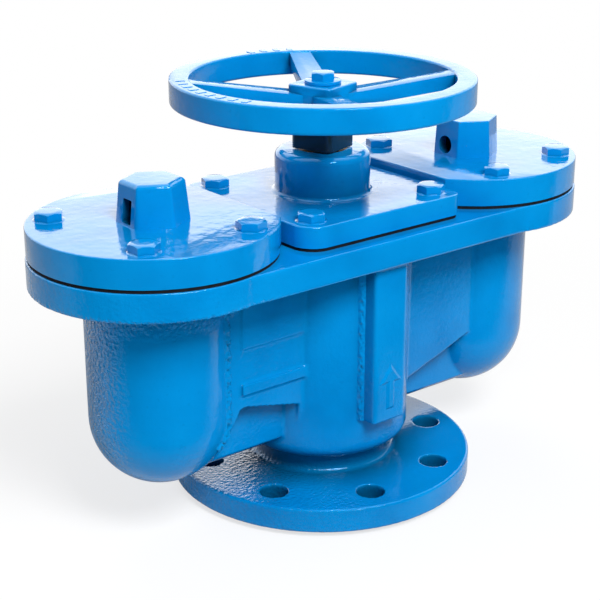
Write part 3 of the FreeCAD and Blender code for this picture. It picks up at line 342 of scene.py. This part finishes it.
def sand_places(shader):
    """Where the casting's lumps and grain show through the enamel, from 0 to 1."""
    height = shader.axis("Z")
    patchy = shader.between(shader.noise(*PATCHES), *GRAIN_PATCHES)
    spread = shader.reckon("ADD", left_chamber_grain(shader), patchy, clamp=True)
    below_deck = shader.between(height, *GRAIN_BELOW_DECK)
    above_flange = shader.between(height, *GRAIN_ABOVE_FLANGE)
    left_of_flange = shader.between(shader.axis("X"), *GRAIN_LEFT_OF_FLANGE)
    levels = shader.reckon("MULTIPLY", below_deck, shader.reckon("MAXIMUM", above_flange, left_of_flange))
    on_flange = shader.between(height, *GRAIN_ON_FLANGE)
    return shader.reckon("MAXIMUM", shader.reckon("MULTIPLY", spread, levels),
                         shader.reckon("MULTIPLY", on_flange, left_of_flange))


def enamel(name, layers, gloss, clear, share=0.16, places=None):
    """Thick blue enamel: its colour drifts, its pits are darker, and painted shade darkens it in corners
    and under overhangs.

    The layers of bumps break the gloss of its clear coat, and a share of their height breaks the
    paint's own gloss. places gives where the bumps show.
    """
    shader = Shader(name)
    shade = shader.ramp(shader.noise(*DRIFT), [(0.30, PAINT_DARK), (0.48, PAINT), (0.75, PAINT_LIGHT)])
    hollow = shader.between(shader.noise(*PITS), *HOLLOWS)
    pitted = shader.blend(hollow, shade, PAINT_DARK)
    # Painted shade: the enamel darkens where nearby walls hide it, as shade falls in corners and under the
    # deck
    corner = shader.node("ShaderNodeAmbientOcclusion", Distance=SHADE_REACH, samples=6, only_local=True)
    painted_shade = shader.between(corner.outputs["AO"], *CORNER_SHADE)
    shader.colour(shader.blend(painted_shade, pitted, PAINT_SHADE))
    mask = places(shader) if places else None
    shader.bumps(shader.rough_layers(layers), "Coat Normal", mask)
    shader.bumps(shader.rough_layers([(scale, height * share) for scale, height in layers]), "Normal", mask)
    shader.set(Roughness=gloss, IOR=1.55, Specular_Tint=(*PAINT_GLINT, 1))
    shader.set(Coat_Weight=clear, Coat_IOR=1.5, Coat_Roughness=gloss)
    return shader


def cast_paint():
    """Enamel over a sand casting: lumps, orange peel and sand grain."""
    return enamel("cast_paint", CAST_LAYERS, gloss=0.06, clear=0.35, share=0.6, places=sand_places).material


def machined_paint():
    """Enamel brushed over turned faces: shallow ripples under a high gloss."""
    return enamel("machined_paint", MACHINED_LAYERS, gloss=0.07, clear=0.5).material


def wheel_paint():
    """The handwheel's enamel, darker below the hub where its neck meets the boss: painted shade under the
    wheel, with grease.
    """
    shader = enamel("wheel_paint", WHEEL_LAYERS, gloss=0.09, clear=0.2)
    clean = shader.surface.inputs["Base Color"].links[0].from_socket
    # Painted shade with grease: the enamel darkens below the hub, under the wheel
    shade_and_grease = shader.between(shader.axis("Z"), *NECK_SHADE_HEIGHTS)
    shader.colour(shader.blend(shade_and_grease, clean, NECK_SHADE_AND_GREASE))
    return shader.material


def rubber():
    """Black rubber for gaskets and seals."""
    shader = Shader("rubber")
    mottle = shader.noise(*MOTTLE)
    shader.colour(shader.ramp(mottle, [(0.3, RUBBER), (0.8, RUBBER_LIGHT)]))
    shader.bumps([(mottle, 0.4, 0.1 * MM)])
    shader.set(Roughness=0.75, Specular_IOR_Level=0.2)
    return shader.material


def turned_metal(name, shades, roughness):
    """Bare metal with fine turning marks."""
    shader = Shader(name)
    stretch = shader.node("ShaderNodeMapping", Scale=(1.0, 1.0, 40.0))
    shader.feed(stretch.inputs["Vector"], shader.place())
    marks = shader.noise(*TURNING_MARKS, stretch.outputs["Vector"])
    shader.colour(shader.ramp(marks, [(0.3, shades[0]), (0.7, shades[1])]))
    shader.bumps([(marks, 0.3, 0.05 * MM)])
    shader.set(Metallic=1.0, Roughness=roughness)
    return shader.material


def smooth_shading(mesh):
    mesh.polygons.foreach_set("use_smooth", [True] * len(mesh.polygons))


def weld(node):
    """Shade a CAD node smooth and join its faces at their edges."""
    smooth_shading(node.data)
    made = node.modifiers.new("weld", "WELD")
    made.merge_threshold = WELD_REACH


def soften(node, width=0):
    """Round a CAD node's sharp edges by a modifier, if a width is given, and shade it smooth."""
    weld(node)
    flat = node.modifiers.new("flat", "DECIMATE")
    flat.decimate_type = "DISSOLVE"
    flat.angle_limit = math.radians(FLATNESS)
    if width:
        edge = node.modifiers.new("edge", "BEVEL")
        edge.width = width
        edge.segments = 2
        edge.limit_method = "ANGLE"
        edge.angle_limit = math.radians(CREASE)
    split = node.modifiers.new("split", "EDGE_SPLIT")
    split.split_angle = math.radians(CREASE)


def cast_finish(node, voxel, passes):
    """Give a casting the blended corners of its mould."""
    weld(node)
    remesh = node.modifiers.new("remesh", "REMESH")
    remesh.mode = "VOXEL"
    remesh.voxel_size = voxel
    remesh.use_smooth_shade = True
    smooth = node.modifiers.new("smooth", "SMOOTH")
    smooth.factor = 0.5
    smooth.iterations = passes


def dress(name, material):
    """Give a CAD node its material."""
    node = NODES[name]
    node.data.materials.clear()
    node.data.materials.append(material)
    return node


def new_object(name, mesh, material):
    """An object in the scene from a mesh and a material."""
    mesh.materials.append(material)
    made = bpy.data.objects.new(name, mesh)
    bpy.context.scene.collection.objects.link(made)
    return made


def mesh_piece(name, build, material, body, crease=CREASE):
    """A new piece from a bmesh building function, riding on a CAD body."""
    mesh = bpy.data.meshes.new(name)
    grid = bmesh.new()
    build(grid)
    bmesh.ops.recalc_face_normals(grid, faces=grid.faces)
    grid.to_mesh(mesh)
    grid.free()
    smooth_shading(mesh)
    piece = new_object(name, mesh, material)
    split = piece.modifiers.new("split", "EDGE_SPLIT")
    split.split_angle = math.radians(crease)
    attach(piece, body)
    return piece


def join_rings(grid, rings):
    """Faces between rings of equal length, each ring closed."""
    for low, high in zip(rings, rings[1:]):
        for number in range(len(low)):
            after = (number + 1) % len(low)
            grid.faces.new((low[number], low[after], high[after], high[number]))


def join_rows(grid, rows):
    """Faces between rows of equal length, each row open."""
    for first, second in zip(rows, rows[1:]):
        for number in range(len(first) - 1):
            grid.faces.new((first[number], first[number + 1], second[number + 1], second[number]))


def corner_at(grid, place, radius, angle, rise):
    """A corner at an angle and a height from a place."""
    return grid.verts.new((place[0] + radius * math.cos(angle), place[1] + radius * math.sin(angle),
                           place[2] + rise))


def hexagon_head(grid, place, flats, height, turn):
    """A hexagon head with a chamfered crown that fades out at the middle of each flat."""
    count = 48
    crown = flats / 2 * 0.96
    crown_top = crown * 0.7
    crown_slope = 0.6
    dish = 0.12 * MM
    rings = [[], [], [], []]
    for number in range(count):
        angle = 2 * math.pi * number / count
        within = (angle + math.pi / 6) % (math.pi / 3) - math.pi / 6
        reach = flats / 2 / math.cos(within)
        shoulder = height - dish - (reach - crown) * crown_slope
        levels = ((reach, 0.0), (reach, shoulder), (crown, height - dish), (crown_top, height))
        for corners, (radius, rise) in zip(rings, levels):
            corners.append(corner_at(grid, place, radius, angle + turn, rise))
    join_rings(grid, rings)
    grid.faces.new(rings[-1])
    grid.faces.new(list(reversed(rings[0])))


def paint_skirt(grid, place, radius):
    """Enamel that has run together round the foot of a bolt."""
    count = 32
    angles = [2 * math.pi * number / count for number in range(count)]
    join_rings(grid, [[corner_at(grid, place, radius * share, angle, rise) for angle in angles]
                      for share, rise in SKIRT_LEVELS])


def bolt_places(node):
    """The middle of each bolt in a group, from where the group's corners lie."""
    bolts = []
    for vertex in NODES[node].data.vertices:
        for bolt in bolts:
            if (bolt[0].xy - vertex.co.xy).length < BOLT_SPACING:
                bolt.append(vertex.co.copy())
                break
        else:
            bolts.append([vertex.co.copy()])
    return [[(min(corner[axis] for corner in bolt) + max(corner[axis] for corner in bolt)) / 2
             for axis in (0, 1)] for bolt in bolts]


def bolt_heads(name, node, seat, first_turn, material):
    """Heads for a group of bolts, each turned a little further than the one before."""
    def build(grid):
        for number, (x, y) in enumerate(bolt_places(node)):
            place = (x, y, seat)
            turn = math.radians(first_turn + BOLT_TURN_STEP * number)
            hexagon_head(grid, place, BOLT_FLATS, BOLT_HEAD, turn)
            paint_skirt(grid, place, BOLT_FLATS / 2)
    piece = mesh_piece(name, build, material, "valve")
    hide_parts(node)


def wheel_bolt_head(grid):
    """The head of the bolt that holds the handwheel."""
    height = WHEEL_BOLT_TOP - WHEEL_BOLT_SEAT
    hexagon_head(grid, (0, 0, WHEEL_BOLT_SEAT), WHEEL_BOLT_FLATS, height, math.radians(WHEEL_BOLT_TURN))


def arrow_outline(grow):
    """Corners of an arrow that points up, with every edge moved outwards by the same step."""
    shaft = ARROW_SHAFT + grow
    neck = ARROW_LENGTH - ARROW_HEAD - grow
    tip = ARROW_LENGTH + grow * math.hypot(ARROW_HALF, ARROW_HEAD) / ARROW_HALF
    half = (tip - neck) * ARROW_HALF / ARROW_HEAD
    return [(-shaft, -grow), (shaft, -grow), (shaft, neck), (half, neck), (0.0, tip), (-half, neck),
            (-shaft, neck)]


def flow_arrow(grid):
    """A plain arrow with wide slopes, cast low on the front bar."""
    rings = []
    for proud, grow in ARROW_LEVELS:
        rings.append([grid.verts.new((x, -BAR_FACE - proud, ARROW_START + z))
                      for x, z in arrow_outline(grow)])
    join_rings(grid, rings)
    grid.faces.new(rings[-1])


def bead(grid, path, walls, height, lumps):
    """A rough bead in the corner between two walls, along a path of corner points.

    walls gives, for a corner point, the directions that run from the corner along either wall.
    """
    steps = 8
    rows = []
    for point in path:
        corner = Vector(point)
        one, two = walls(point)
        out = (one + two).normalized()
        row = []
        for step in range(steps + 1):
            part = step / steps
            uneven = sum(share * noise.noise(corner * scale + out * part * spread)
                         for scale, spread, share in LUMPS)
            rise = (height + lumps * uneven) * math.sin(math.pi * part) - BEAD_SINK
            across = (corner + one * BEAD_REACH).lerp(corner + two * BEAD_REACH, part)
            row.append(grid.verts.new(across + out * rise))
        rows.append(row)
    join_rows(grid, rows)


def web_bead(front):
    """Builds the bead where the left chamber meets the web, down its side and round its foot."""
    half = math.sqrt(CHAMBER_RADIUS ** 2 - WEB_FACE ** 2)
    outward = Vector((0.0, front, 0.0))
    side_steps = 110
    foot_steps = 24
    foot_angle = 48

    def walls(point):
        low = min(point[2] - CHAMBER_AXIS_HEIGHT, 0.0)
        radial = Vector((point[0] + CHAMBER_X, point[1], low)).normalized()
        along_web = Vector((radial.x, 0.0, radial.z)).normalized()
        along_chamber = (outward - radial * outward.dot(radial)).normalized()
        return along_web, along_chamber

    def build(grid):
        drop = CHAMBER_AXIS_HEIGHT - DECK_FOOT
        path = [(half - CHAMBER_X, front * WEB_FACE, DECK_FOOT + drop * number / side_steps)
                for number in range(side_steps + 1)]
        for number in range(1, foot_steps + 1):
            turn = math.radians(foot_angle * number / foot_steps)
            path.append((half * math.cos(turn) - CHAMBER_X, front * WEB_FACE,
                         CHAMBER_AXIS_HEIGHT - half * math.sin(turn)))
        bead(grid, path, walls, *WEB_BEAD)
    return build


def bar_bead(side):
    """Builds the bead where the front bar meets the barrel."""
    across = side * BAR_HALF
    depth = -math.sqrt(BARREL_RADIUS ** 2 - BAR_HALF ** 2)
    steps = 150

    def walls(point):
        radial = Vector((point[0], point[1], 0.0)).normalized()
        tangent = Vector((radial.y, -radial.x, 0.0))
        return tangent * math.copysign(1.0, tangent.x * side), Vector((0.0, -1.0, 0.0))

    def build(grid):
        path = [(across, depth, BAR_FOOT + (DECK_FOOT - BAR_FOOT) * number / steps)
                for number in range(steps + 1)]
        bead(grid, path, walls, *BAR_BEAD)
    return build


def rim_mark(grid, low_angle, high_angle):
    """A raised tick across the rim's top between two angles in degrees."""
    inner = WHEEL_RADIUS - RIM_WIDTH + TICK_MARGIN
    outer = WHEEL_RADIUS - TICK_MARGIN
    foot = WHEEL_TOP - TICK_SINK
    top = WHEEL_TOP + TICK_RISE
    levels = ((inner, foot), (inner + TICK_SLOPE, top), (outer - TICK_SLOPE, top), (outer, foot))
    count = 2
    rows = []
    for number in range(count + 1):
        angle = math.radians(low_angle + (high_angle - low_angle) * number / count)
        rows.append([grid.verts.new((radius * math.cos(angle), radius * math.sin(angle), level))
                     for radius, level in levels])
    join_rows(grid, rows)
    grid.faces.new(rows[0])
    grid.faces.new(list(reversed(rows[-1])))


def rim_marks(grid):
    """Plain ticks cast on the rim in groups, as a position scale."""
    for start, stop in TICK_GROUPS:
        for angle in range(start, stop, TICK_STEP):
            rim_mark(grid, angle, angle + TICK_WIDTH)


def floor_material():
    """Near white to the camera apart from shadows, pale to the object, and dark in front for gloss."""
    shader = Shader("studio_floor")
    path = shader.node("ShaderNodeLightPath").outputs
    position = shader.node("ShaderNodeNewGeometry").outputs["Position"]
    shade = shader.ramp(shader.noise(*FLOOR_MOTTLE), [(0.0, FLOOR[0]), (1.0, FLOOR[1])])
    shader.colour(shader.blend(path["Is Camera Ray"], shade, FLOOR_TO_CAMERA))
    shader.set(Roughness=0.9, Specular_IOR_Level=0.1)
    glow = shader.node("ShaderNodeEmission", Color=(*WHITE, 1))
    dark = shader.node("ShaderNodeEmission", Color=(*NEAR_BLACK, 1))
    front = shader.between(shader.along(position, FROM_DARK), *FLOOR_DARK)
    unlit = shader.reckon("MULTIPLY", path["Is Glossy Ray"], front)
    distance = shader.node("ShaderNodeVectorMath", operation="LENGTH")
    shader.feed(distance.inputs[0], position)
    far = shader.between(distance.outputs["Value"], *FLOOR_WHITE)
    white = shader.reckon("MULTIPLY", path["Is Camera Ray"], far)
    last = shader.surface.outputs["BSDF"]
    for factor, light in ((unlit, dark), (white, glow)):
        mixed = shader.node("ShaderNodeMixShader")
        for socket, source in zip(mixed.inputs, (factor, last, light.outputs["Emission"])):
            shader.feed(socket, source)
        last = mixed.outputs["Shader"]
    shader.feed(shader.tree.nodes["Material Output"].inputs["Surface"], last)
    return shader.material


def make_stage():
    """A pale floor that keeps the object's shadow."""
    mesh = bpy.data.meshes.new("floor")
    grid = bmesh.new()
    bmesh.ops.create_grid(grid, x_segments=1, y_segments=1, size=FLOOR_HALF)
    grid.to_mesh(mesh)
    grid.free()
    floor = new_object("floor", mesh, floor_material())
    floor.location = (0, 0, -FLOOR_DROP)


def make_world():
    """A white studio: bright above and behind for reflections, dark on the camera's side."""
    world = bpy.data.worlds.new("studio")
    bpy.context.scene.world = world
    world.use_nodes = True
    nodes = Nodes(world.node_tree)
    back = world.node_tree.nodes["Background"]
    back.inputs["Color"].default_value = (*WHITE, 1)
    path = nodes.node("ShaderNodeLightPath").outputs
    direction = nodes.node("ShaderNodeTexCoord").outputs["Generated"]
    panel = nodes.between(nodes.along(direction, TO_BRIGHT), *STUDIO_GLOSS, "SMOOTHSTEP")
    plain = nodes.mix(path["Is Camera Ray"], STUDIO_LIGHT, STUDIO_TO_CAMERA)
    nodes.feed(back.inputs["Strength"], nodes.mix(path["Is Glossy Ray"], plain, panel))


def aimed(name, data, place, aim):
    """A light or camera in the scene, looking along a direction."""
    holder = bpy.data.objects.new(name, data)
    holder.location = place
    holder.rotation_mode = "QUATERNION"
    holder.rotation_quaternion = aim.to_track_quat("-Z", "Y")
    bpy.context.scene.collection.objects.link(holder)
    return holder


def area_light(name, place, size, power, glossy):
    """A square light that looks at the object."""
    light = bpy.data.lights.new(name, "AREA")
    light.shape = "SQUARE"
    light.size = size
    light.energy = power
    holder = aimed(name, light, place, Vector(LIGHT_TARGET) - Vector(place))
    holder.visible_glossy = glossy


def make_camera():
    """The camera that took the photograph."""
    camera = bpy.data.cameras.new("camera")
    camera.sensor_width = CAMERA_SENSOR
    camera.lens = CAMERA_LENS
    camera.clip_start = 0.01
    turn = math.radians(CAMERA_TURN)
    tilt = math.radians(CAMERA_TILT)
    ahead = Vector((-math.sin(turn) * math.cos(tilt), math.cos(turn) * math.cos(tilt), -math.sin(tilt)))
    bpy.context.scene.camera = aimed("camera", camera, CAMERA_PLACE, ahead)


def dress_cad_nodes(cast, machined, wheel):
    """Materials and edges for every CAD node that isn't replaced, outside and inside."""
    black = rubber()
    bronze = turned_metal("bronze", BRONZE, 0.32)
    steel = turned_metal("steel", STEEL, 0.28)
    iron = turned_metal("iron", IRON, 0.55)
    cast_finish(dress("body_casting", cast), voxel=1.0 * MM, passes=2)
    for name in ("cover_left", "cover_right", "bonnet", "vent_cap_left", "vent_cap_right"):
        soften(dress(name, machined))
    soften(dress("handwheel", wheel), WHEEL_EDGE)
    soften(dress("handwheel_washer", wheel), FINE_EDGE)
    for name in ("gasket_left", "gasket_right", "gasket_bonnet", "orifice_seal_left",
                 "orifice_seal_right", "disc_rubber", "gland_packing"):
        soften(dress(name, black))
    for name in ("seat_ring", "orifice_bush_left", "orifice_bush_right", "small_nozzle",
                 "thrust_bush", "gland_nut", "spindle_nut"):
        soften(dress(name, bronze), FINE_EDGE)
    for name in ("spindle", "disc_retainer", "float_ball_left", "float_ball_right"):
        soften(dress(name, steel))
    soften(dress("isolating_disc", iron), DISC_EDGE)


def add_details(cast, machined, wheel):
    """The pieces that are made here: bolt heads, ticks, arrow and beads."""
    bolt_heads("bolt_heads_left", "cover_bolts_left", COVER_TOP, 8, machined)
    bolt_heads("bolt_heads_right", "cover_bolts_right", COVER_TOP, 40, machined)
    bolt_heads("bolt_heads_bonnet", "bonnet_bolts", BONNET_TOP, 21, machined)
    wheel_bolt = mesh_piece("wheel_bolt_head", wheel_bolt_head, wheel, "wheel")
    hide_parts("handwheel_bolt")
    mesh_piece("rim_marks", rim_marks, wheel, "wheel")
    mesh_piece("flow_arrow", flow_arrow, cast, "valve", ARROW_CREASE)
    beads = {"web_bead_front": web_bead(-1), "web_bead_rear": web_bead(1),
             "bar_bead_left": bar_bead(-1), "bar_bead_right": bar_bead(1)}
    for name, build in beads.items():
        mesh_piece(name, build, cast, "valve", BEAD_CREASE)


cast_enamel = cast_paint()
machined_enamel = machined_paint()
wheel_enamel = wheel_paint()
dress_cad_nodes(cast_enamel, machined_enamel, wheel_enamel)
add_details(cast_enamel, machined_enamel, wheel_enamel)
make_stage()
make_world()
area_light("key", **KEY_LIGHT)
area_light("back", **BACK_LIGHT)
make_camera()

scene = bpy.context.scene
scene.view_settings.view_transform = "Standard"
